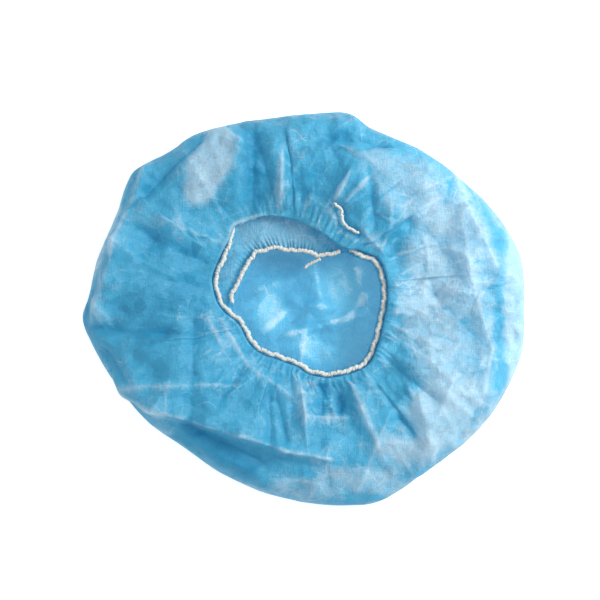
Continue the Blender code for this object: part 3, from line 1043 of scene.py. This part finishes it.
def tube_points(path, closed, reach, sides):
    """A ring of points about each point of a path; reach gives the radius for turn and row."""
    beside, above = tube_frames(path, closed)
    turn = 2 * math.pi * np.arange(sides) / sides
    radius = reach(turn[None, :], np.arange(len(path))[:, None])
    ring = np.cos(turn)[None, :, None] * beside[:, None] + np.sin(turn)[None, :, None] * above[:, None]
    return path[:, None] + ring * radius[..., None]


def even_path(path, closed, step):
    """A path through the same points with its own points a step apart."""
    if closed:
        path = np.concatenate([path, path[:1]])
    run = np.concatenate([[0.0], np.cumsum(np.linalg.norm(np.diff(path, axis=0), axis=-1))])
    count = max(int(run[-1] / step), 4)
    at = np.linspace(0.0, run[-1], count, endpoint=not closed)
    return np.stack([np.interp(at, run, path[:, axis]) for axis in range(3)], axis=1)


def swayed(path, closed, sway):
    """A path that wanders beside and above its line in uneven waves, as slack elastic does.

    The waves are about 10 and 4 mm long, with phases that drift along the way.
    """
    beside, above = tube_frames(path, closed)
    steps = np.linalg.norm(np.roll(path, -1, axis=0) - path, axis=-1)
    whole = steps.sum() if closed else steps[:-1].sum()
    turn = 2 * math.pi * (np.cumsum(steps) - steps) / whole
    slow = round(whole / 0.010) * turn + 1.9 * np.sin(3 * turn)
    quick = round(whole / 0.004) * turn + 1.3 * np.sin(5 * turn)
    side = sway * (np.sin(slow) + 0.5 * np.sin(quick))
    rise = sway * 0.5 * np.cos(slow)
    return path + beside * side[:, None] + above * rise[:, None]


def covered_elastic(name, path, closed, diameter):
    """Core and winding thread of a covered elastic, as one mesh.

    The core's radius swells and shrinks in a slow twist with a few lumps. The thread is a thin
    tube along a helix on the core's skin.
    """
    rng = np.random.default_rng(len(name))
    path = swayed(path, closed, sway_share * diameter)
    core_path = even_path(path, closed, core_step)
    count = len(core_path)
    twists = round(count * core_step / core_twist)
    lumps = np.interp(np.arange(count), np.linspace(0, count, 110), rng.uniform(-1, 1, 110))
    lumps[-8:] = lumps[-8:] * np.linspace(1, 0, 8) + lumps[0] * np.linspace(0, 1, 8)
    radius = diameter / 2

    def core(turn, row):
        """The core's radius at a turn round it and a row along it."""
        twist = 2 * math.pi * twists * row / count
        return radius * (0.93 + 0.12 * np.cos(2 * turn - twist) + 0.15 * lumps[row])

    thread_path = even_path(path, closed, thread_step)
    steps = len(thread_path)
    loops = round(steps * thread_step / thread_turn)
    beside, above = tube_frames(thread_path, closed)
    spin = (2 * math.pi * loops * np.arange(steps) / steps)[:, None]
    reach = radius * (1.00 + 0.08 * np.cos(spin * 0.37))
    helix = thread_path + (beside * np.cos(spin) + above * np.sin(spin)) * reach

    def thread(turn, row):
        """The thread's radius, the same everywhere."""
        return np.full(np.broadcast_shapes(turn.shape, row.shape), thread_radius)

    core_tube = tube_points(core_path, closed, core, 12)
    thread_tube = tube_points(helix, closed, thread, 5)
    return joined_tubes(name, [core_tube, thread_tube], closed)


def joined_tubes(name, tubes, closed):
    """One mesh from several tubes: rings of points, each closed on itself or capped at its ends."""
    places = []
    faces = []
    start = 0
    for points in tubes:
        rows, sides = points.shape[:2]
        index = start + np.arange(rows * sides).reshape(rows, sides)
        after = np.roll(index, -1, axis=1)
        ahead = np.roll(index, -1, axis=0)
        ahead_after = np.roll(after, -1, axis=0)
        quads = np.stack([index, ahead, ahead_after, after], axis=-1)
        quads = quads if closed else quads[:-1]
        faces += quads.reshape(-1, 4).tolist()
        if not closed:
            faces += [index[0].tolist(), index[-1][::-1].tolist()]
        places.append(points.reshape(-1, 3))
        start += rows * sides
    mesh = bpy.data.meshes.new(name)
    mesh.from_pydata(np.concatenate(places), [], faces)
    mesh.shade_smooth()
    return mesh


def hem_elastic_path():
    """The elastic's closed line."""
    return mouth_point(np.arange(0.0, 360.0, 0.5))


def on_flap(angle, inward, up):
    """A point over the flap's edge."""
    rise = flap_level(angle, 1.0) + cloth_wall / 2 + clearance + up
    return inside_mouth(angle, flap_in(angle) + inward, rise)


def inner_elastic_path():
    """The second run of elastic, which lies on the edge of the flap."""
    angle = np.linspace(inner_start, inner_end, 160)
    return on_flap(angle, 0.0, inner_elastic_diameter / 2)


def top_tail_path():
    """The loose end that lies on the gathers."""
    angle, out = (column(TOP_TAIL, TOP_TAIL_COLUMNS, name) for name in TOP_TAIL_COLUMNS)
    steps = np.linspace(0, len(angle) - 1, 8 * len(angle) - 7)
    angle, out = (np.interp(steps, np.arange(len(angle)), values) for values in (angle, out))
    rows = np.stack([hem_rows(angle)[0]] + [top_row(angle, *row[:2]) for row in TOP[::-1]])
    near = out.astype(int)
    place = np.arange(len(near))
    path = rows[near, place]
    path += (rows[near + 1, place] - path) * (out - near)[:, None]
    path[:, 2] += tail_diameter / 2 + cloth_wall + clearance
    return path


def inner_tail_path():
    """The short end that turns away from the inner elastic over the crown."""
    angle, inward, down = (column(INNER_TAIL, INNER_TAIL_COLUMNS, name) for name in INNER_TAIL_COLUMNS)
    beside = (inner_elastic_diameter + tail_diameter) / 2 + clearance
    path = on_flap(angle, beside + inward * tail_turn, inner_elastic_diameter / 2)
    path[:, 2] -= down * tail_turn
    return path


def new_material(name):
    """A node material and its Principled shader."""
    made = bpy.data.materials.new(name)
    made.use_nodes = True
    return made, made.node_tree.nodes["Principled BSDF"]


def feed(tree, socket, value):
    """Links an input to another node's output, or sets it to a plain value."""
    if isinstance(value, bpy.types.NodeSocket):
        tree.links.new(value, socket)
    else:
        socket.default_value = value


def add_node(tree, kind, **values):
    """A node whose inputs are fed by name, with _ for a space."""
    node = tree.nodes.new(kind)
    for name, value in values.items():
        feed(tree, node.inputs[name.replace("_", " ")], value)
    return node


def number_maths(tree, operation, *values):
    """The output of a Math node whose inputs are fed in order."""
    node = tree.nodes.new("ShaderNodeMath")
    node.operation = operation
    for socket, value in zip(node.inputs, values):
        feed(tree, socket, value)
    return node.outputs["Value"]


def vector_maths(tree, operation, *values):
    """The output of a Vector Math node: a number for a dot product, and otherwise a vector."""
    node = tree.nodes.new("ShaderNodeVectorMath")
    node.operation = operation
    for socket, value in zip(node.inputs, values):
        feed(tree, socket, value)
    return node.outputs["Value" if operation == "DOT_PRODUCT" else "Vector"]


def new_group(name, inputs, outputs):
    """An empty node group with its named sockets, and its two end nodes."""
    group = bpy.data.node_groups.new(name, "ShaderNodeTree")
    for label, kind, value in inputs:
        socket = group.interface.new_socket(label, in_out="INPUT", socket_type=kind)
        socket.default_value = value
    for label, kind in outputs:
        group.interface.new_socket(label, in_out="OUTPUT", socket_type=kind)
    return group, group.nodes.new("NodeGroupInput"), group.nodes.new("NodeGroupOutput")


def use_group(tree, name, make, **values):
    """The outputs of a shared group, which is made at its first use, with these inputs."""
    node = tree.nodes.new("ShaderNodeGroup")
    node.node_tree = bpy.data.node_groups.get(name) or make()
    for label, value in values.items():
        node.inputs[label].default_value = value
    return node.outputs


def fibre_group():
    """Tangled fibres: streaks of stretched noise at two scales, as a mask about 0 and a height."""
    group, given, result = new_group(
        "Fibres",
        [("Scale", "NodeSocketFloat", 900.0), ("Contrast", "NodeSocketFloat", 1.0)],
        [("Mask", "NodeSocketFloat"), ("Height", "NodeSocketFloat")],
    )
    where = group.nodes.new("ShaderNodeTexCoord").outputs["Object"]
    size = given.outputs["Scale"]
    streaks = []
    for squeeze, turn in (((1.0, 0.22, 0.6), 0.5), ((0.25, 1.0, 0.6), 1.2)):
        turned = add_node(
            group, "ShaderNodeMapping", Vector=where, Scale=squeeze, Rotation=(0.0, 0.0, turn)
        ).outputs["Vector"]
        noise = add_node(
            group, "ShaderNodeTexNoise", Vector=turned, Scale=size, Detail=3.0, Roughness=0.6
        )
        streaks.append(noise.outputs["Fac"])
    height = number_maths(group, "ADD", *streaks)
    about_zero = number_maths(group, "SUBTRACT", height, 1.0)
    mask = number_maths(group, "MULTIPLY", about_zero, given.outputs["Contrast"])
    feed(group, result.inputs["Mask"], mask)
    feed(group, result.inputs["Height"], height)
    return group


def facet_group():
    """Flat facets of a crumpled film: cells of two sizes, each tilted its own way.

    In a cell the height is the way from its middle, measured along a direction and by a slope
    that are the cell's own. Mask is a painted shade from how far the cell leans along X, about
    zero.
    """
    group, given, result = new_group(
        "Facets",
        [("Scale", "NodeSocketFloat", 66.0), ("Slope", "NodeSocketFloat", 0.2)],
        [("Mask", "NodeSocketFloat"), ("Height", "NodeSocketFloat")],
    )
    where = group.nodes.new("ShaderNodeTexCoord").outputs["Object"]
    heights = []
    masks = []
    for finer in (1.0, 2.3):
        size = number_maths(group, "MULTIPLY", given.outputs["Scale"], finer)
        cells = add_node(group, "ShaderNodeTexVoronoi", Vector=where, Scale=size)
        away = vector_maths(group, "SUBTRACT", where, cells.outputs["Position"])
        tilt = vector_maths(group, "SUBTRACT", cells.outputs["Color"], (0.5, 0.5, 0.5))
        heights.append(vector_maths(group, "DOT_PRODUCT", away, tilt))
        # Painted shade: the cell's lean along X
        masks.append(vector_maths(group, "DOT_PRODUCT", tilt, (1.0, 0.0, 0.0)))
    height = number_maths(group, "ADD", *heights)
    height = number_maths(group, "MULTIPLY", height, given.outputs["Slope"])
    feed(group, result.inputs["Height"], height)
    feed(group, result.inputs["Mask"], number_maths(group, "ADD", *masks))
    return group


def crumple_highlight_lines(tree, where, cloud):
    """Thin lines of painted highlight along the edges of a crumple's cells, kept where the cloud is
    thick.
    """
    cells = add_node(tree, "ShaderNodeTexVoronoi", Vector=where, Scale=115.0)
    cells.feature = "DISTANCE_TO_EDGE"
    distance = cells.outputs["Distance"]
    edge = add_node(tree, "ShaderNodeMapRange", Value=distance, From_Max=0.06, To_Min=1.0, To_Max=0.0)
    part = add_node(tree, "ShaderNodeMapRange", Value=cloud, From_Min=0.47, From_Max=0.63)
    return number_maths(tree, "MULTIPLY", edge.outputs["Result"], part.outputs["Result"])


def cloth_marks(tree):
    """Tone of the cloth from 0, deep, to 1, pale, and its fine relief in metres.

    Both are sums: crease marks, thin places, wrinkles, facets, lines and fibres for the tone, and
    wrinkles and fibres in millimetres over the facets for the relief. In the tone the crease marks
    are painted highlight and shade, the wrinkles and lines painted highlight, and the facets
    painted shade by their tilt.
    """
    where = tree.nodes.new("ShaderNodeTexCoord").outputs["Object"]
    marks = tree.nodes.new("ShaderNodeAttribute")
    marks.attribute_name = "crease"
    cloud = add_node(
        tree, "ShaderNodeTexNoise", Vector=where, Scale=34.0, Detail=4.0, Roughness=0.7
    ).outputs["Fac"]
    wrinkles = add_node(
        tree, "ShaderNodeTexNoise", Vector=where, Scale=85.0, Detail=2.5, Roughness=0.45
    )
    wrinkles.noise_type = "RIDGED_MULTIFRACTAL"
    wrinkles.normalize = False
    wrinkled = wrinkles.outputs["Fac"]
    fibres = use_group(tree, "Fibres", fibre_group, Scale=1100.0, Contrast=0.16)
    facets = use_group(tree, "Facets", facet_group, Scale=62.0, Slope=0.40)
    tone = fibres["Mask"]
    # Painted light: crease highlight and shade, pale wrinkle ridges, facet shade and highlight lines;
    # the cloud and the fibres are the cloth's own uneven tone
    for source, weight, offset in (
        (marks.outputs["Fac"], 0.16, 0.41),
        (cloud, 0.04, -0.02),
        (wrinkled, 0.09, -0.08),
        (facets["Mask"], 0.05, 0.0),
        (crumple_highlight_lines(tree, where, cloud), 0.13, 0.0),
    ):
        scaled = number_maths(tree, "MULTIPLY_ADD", source, weight, offset)
        tone = number_maths(tree, "ADD", scaled, tone)
    small = number_maths(tree, "MULTIPLY_ADD", fibres["Height"], 0.22, wrinkled)
    return tone, number_maths(tree, "MULTIPLY_ADD", small, 0.0022, facets["Height"])


def cloth_material(settings):
    """Silky, slightly see-through non-woven cloth, paler with painted highlight on its ridges and
    deeper with painted shade in its dents.
    """
    made, shader = new_material("non_woven_cloth_dressed")
    tree = made.node_tree
    for name, value in (
        ("Roughness", 0.45),
        ("Specular IOR Level", 0.7),
        ("Sheen Weight", 0.25),
        ("Sheen Roughness", 0.4),
        ("Alpha", settings.cover),
    ):
        shader.inputs[name].default_value = value
    tone, relief = cloth_marks(tree)
    # Painted shade at the deep end of the ramp and painted highlight at its pale end
    ramp = add_node(tree, "ShaderNodeValToRGB", Fac=tone)
    steps = ramp.color_ramp.elements
    steps[0].position = 0.05
    steps[0].color = (*settings.painted_dent_shade, 1.0)
    steps[1].position = 0.75
    steps[1].color = (*settings.painted_ridge_highlight, 1.0)
    steps.new(0.38).color = (*settings.colour, 1.0)
    feed(tree, shader.inputs["Base Color"], ramp.outputs["Color"])
    bump = add_node(tree, "ShaderNodeBump", Height=relief, Strength=1.0, Distance=1.0)
    feed(tree, shader.inputs["Normal"], bump.outputs["Normal"])

    # Light scattered through the cloth, and a plain tinted shadow in place of what passes straight
    glow = add_node(tree, "ShaderNodeBsdfTranslucent", Color=ramp.outputs["Color"])
    passing = add_node(tree, "ShaderNodeBsdfTransparent", Color=settings.shadow_tint())
    ray = tree.nodes.new("ShaderNodeLightPath").outputs["Is Shadow Ray"]
    mixed = mixed_shaders(tree, settings.glow, shader.outputs[0], glow.outputs[0])
    shown = mixed_shaders(tree, ray, mixed, passing.outputs[0])
    feed(tree, tree.nodes["Material Output"].inputs["Surface"], shown)
    return made


def mixed_shaders(tree, share, first, second):
    """The output of a mix of two shaders, with this share of the second."""
    node = tree.nodes.new("ShaderNodeMixShader")
    for socket, value in zip(node.inputs, (share, first, second)):
        feed(tree, socket, value)
    return node.outputs[0]


def elastic_material(settings):
    """Off-white covered elastic with fine fibres, darker along the streaks of its fibre noise."""
    made, shader = new_material("covered_elastic")
    tree = made.node_tree
    shader.inputs["Roughness"].default_value = 0.8
    shader.inputs["Sheen Weight"].default_value = 0.2
    fibres = use_group(tree, "Fibres", fibre_group, Scale=1600.0, Contrast=1.4)
    blend = tree.nodes.new("ShaderNodeMix")
    blend.data_type = "RGBA"
    feed(tree, blend.inputs[0], fibres["Mask"])
    blend.inputs[6].default_value = (*settings.colour, 1.0)
    blend.inputs[7].default_value = (*settings.shade_colour, 1.0)
    feed(tree, shader.inputs["Base Color"], blend.outputs[2])
    bump = add_node(tree, "ShaderNodeBump", Height=fibres["Height"], Strength=0.6, Distance=0.0003)
    feed(tree, shader.inputs["Normal"], bump.outputs["Normal"])
    return made


class ClothSettings(bpy.types.PropertyGroup):
    """What a user would change on the cloth."""

    colour: bpy.props.FloatVectorProperty(
        name="Colour",
        description="Colour of the flat cloth",
        default=(0.060, 0.480, 0.715),
        subtype="COLOR",
        size=3,
    )
    # Painted shade: the colour that dents and hollows are painted
    painted_dent_shade: bpy.props.FloatVectorProperty(
        name="Deep colour",
        description="Colour in the dents",
        default=(0.004, 0.340, 0.580),
        subtype="COLOR",
        size=3,
    )
    # Painted highlight: the colour that ridges and lit places are painted
    painted_ridge_highlight: bpy.props.FloatVectorProperty(
        name="Pale colour",
        description="Colour along the ridges, a painted highlight",
        default=(0.720, 0.895, 0.965),
        subtype="COLOR",
        size=3,
    )
    cover: bpy.props.FloatProperty(
        name="Cover",
        description="How much of the view the cloth blocks",
        default=0.86,
        min=0.2,
        max=1.0,
        subtype="FACTOR",
    )
    glow: bpy.props.FloatProperty(
        name="Glow",
        description="Share of the light that is scattered through the cloth",
        default=0.35,
        min=0.0,
        max=0.6,
        subtype="FACTOR",
    )

    def shadow_tint(self):
        """The light that the cloth lets straight through, tinted by its colour."""
        through = (1.0 - self.cover) * (1.0 - self.glow)
        return (*(through * (0.6 + 0.4 * share) for share in self.colour), 1.0)


class ElasticSettings(bpy.types.PropertyGroup):
    """What a user would change on the elastic."""

    colour: bpy.props.FloatVectorProperty(
        name="Colour",
        description="Colour of the covering thread",
        default=(0.650, 0.660, 0.620),
        subtype="COLOR",
        size=3,
    )
    shade_colour: bpy.props.FloatVectorProperty(
        name="Shade colour",
        description="Colour between the threads",
        default=(0.400, 0.410, 0.380),
        subtype="COLOR",
        size=3,
    )


class StageSettings(bpy.types.PropertyGroup):
    """Camera, light and floor."""

    elevation: bpy.props.FloatProperty(
        name="Elevation",
        description="Angle of the camera above the floor",
        default=math.radians(86.5),
        subtype="ANGLE",
    )
    view_width: bpy.props.FloatProperty(
        name="View width",
        description="Width of the picture at the cap",
        default=0.386,
        unit="LENGTH",
    )
    key_power: bpy.props.FloatProperty(
        name="Key power",
        description="Power of the main light",
        default=5.4,
        unit="POWER",
    )
    sky: bpy.props.FloatProperty(
        name="Sky",
        description="Strength of the even light from all sides",
        default=0.73,
    )


class CAP_OT_cloth(bpy.types.Operator):
    """Makes the crumpled sheet of cloth"""

    bl_idname = "cap.cloth"
    bl_label = "Cloth"

    def execute(self, context):
        points, tone = crumpled_sheet()
        mesh = grid_mesh("cloth", points[1:], points[0].mean(axis=0))
        marks = crease_highlight_and_shade(points, tone)
        # The painted highlight and shade of the creases, for the material
        layer = mesh.attributes.new("crease", "FLOAT", "POINT")
        layer.data.foreach_set("value", np.append(marks[1:], marks[0].mean()))
        material = cloth_material(context.scene.cap_cloth)
        cloth = add_object("cloth", mesh, material, CLOTH_SLOT, CLOTH_NODE)
        return {"FINISHED"}


class CAP_OT_elastics(bpy.types.Operator):
    """Makes both runs of the elastic and its two loose ends"""

    bl_idname = "cap.elastics"
    bl_label = "Elastics"

    def execute(self, context):
        material = elastic_material(context.scene.cap_elastic)
        runs = (
            (ELASTIC_NODES[0], hem_elastic_path(), True, elastic_diameter),
            (ELASTIC_NODES[1], inner_elastic_path(), False, inner_elastic_diameter),
            (ELASTIC_NODES[2], top_tail_path(), False, tail_diameter),
            (ELASTIC_NODES[3], inner_tail_path(), False, tail_diameter),
        )
        for node, path, closed, diameter in runs:
            mesh = covered_elastic(node, path, closed, diameter)
            add_object(node + "_covered", mesh, material, ELASTIC_SLOT, node)
        return {"FINISHED"}


class CAP_OT_stage(bpy.types.Operator):
    """Makes the floor, the lights and the camera"""

    bl_idname = "cap.stage"
    bl_label = "Stage"

    def execute(self, context):
        settings = context.scene.cap_stage
        add_floor(context.scene)
        add_lights(context.scene, settings)
        add_camera(context.scene, settings)
        return {"FINISHED"}


def add_floor(scene):
    """A plain pale floor that lies just under the cap."""
    mesh = bpy.data.meshes.new("floor")
    corners = [(-1, -1), (1, -1), (1, 1), (-1, 1)]
    mesh.from_pydata([(x * floor_half, y * floor_half, 0.0) for x, y in corners], [], [(0, 1, 2, 3)])
    floor = bpy.data.objects.new("floor", mesh)
    material, shader = new_material("floor")
    for name, value in (
        ("Base Color", (0.75, 0.75, 0.75, 1.0)),
        ("Roughness", 0.9),
        ("Emission Color", (1.0, 1.0, 1.0, 1.0)),
        ("Emission Strength", 0.62),
    ):
        shader.inputs[name].default_value = value
    floor.data.materials.append(material)
    scene.collection.objects.link(floor)


def add_area_light(scene, name, place, size, power):
    """A square area light at a place, turned to the cap."""
    data = bpy.data.lights.new(name, "AREA")
    data.size = size
    data.energy = power
    light = bpy.data.objects.new(name, data)
    light.location = place
    light.rotation_euler = (-Vector(place)).to_track_quat("-Z", "Y").to_euler()
    scene.collection.objects.link(light)


def add_lights(scene, settings):
    """An even white sky and one soft key light from the right."""
    world = bpy.data.worlds.new("sky")
    world.use_nodes = True
    sky = world.node_tree.nodes["Background"]
    sky.inputs["Color"].default_value = (1.0, 1.0, 1.0, 1.0)
    sky.inputs["Strength"].default_value = settings.sky
    scene.world = world
    add_area_light(scene, "key", key_place, key_size, settings.key_power)
    scene.view_settings.view_transform = "Standard"


def add_camera(scene, settings):
    """A camera nearly overhead, whose picture is view_width across at the cap."""
    data = bpy.data.cameras.new("camera")
    data.lens = camera_lens
    back = Vector((0.0, -math.cos(settings.elevation), math.sin(settings.elevation)))
    camera = bpy.data.objects.new("camera", data)
    distance = settings.view_width * data.lens / data.sensor_width
    camera.location = Vector(camera_target) + back * distance
    camera.rotation_euler = (-back).to_track_quat("-Z", "Y").to_euler()
    scene.collection.objects.link(camera)
    scene.camera = camera


class CAP_PT_panel(bpy.types.Panel):
    """Lists the cap's settings and what makes each piece"""

    bl_label = "Bouffant cap"
    bl_idname = "CAP_PT_panel"
    bl_space_type = "VIEW_3D"
    bl_region_type = "UI"
    bl_category = "Cap"

    def draw(self, context):
        scene = context.scene
        for settings in (scene.cap_cloth, scene.cap_elastic, scene.cap_stage):
            box = self.layout.box()
            for name in settings.__annotations__:
                box.prop(settings, name)
        for name in ("cap.elastics", "cap.cloth", "cap.stage"):
            self.layout.operator(name)


CLASSES = (
    ClothSettings,
    ElasticSettings,
    StageSettings,
    CAP_OT_elastics,
    CAP_OT_cloth,
    CAP_OT_stage,
    CAP_PT_panel,
)


def register():
    """Adds the classes, and their settings to the scene"""
    for each in CLASSES:
        bpy.utils.register_class(each)
    bpy.types.Scene.cap_cloth = bpy.props.PointerProperty(type=ClothSettings)
    bpy.types.Scene.cap_elastic = bpy.props.PointerProperty(type=ElasticSettings)
    bpy.types.Scene.cap_stage = bpy.props.PointerProperty(type=StageSettings)


def unregister():
    """Takes the settings and the classes away again"""
    del bpy.types.Scene.cap_stage
    del bpy.types.Scene.cap_elastic
    del bpy.types.Scene.cap_cloth
    for each in reversed(CLASSES):
        bpy.utils.unregister_class(each)


def main():
    """Makes every piece and the stage"""
    register()
    bpy.ops.cap.elastics()
    bpy.ops.cap.cloth()
    bpy.ops.cap.stage()


if __name__ == "__main__":
    main()
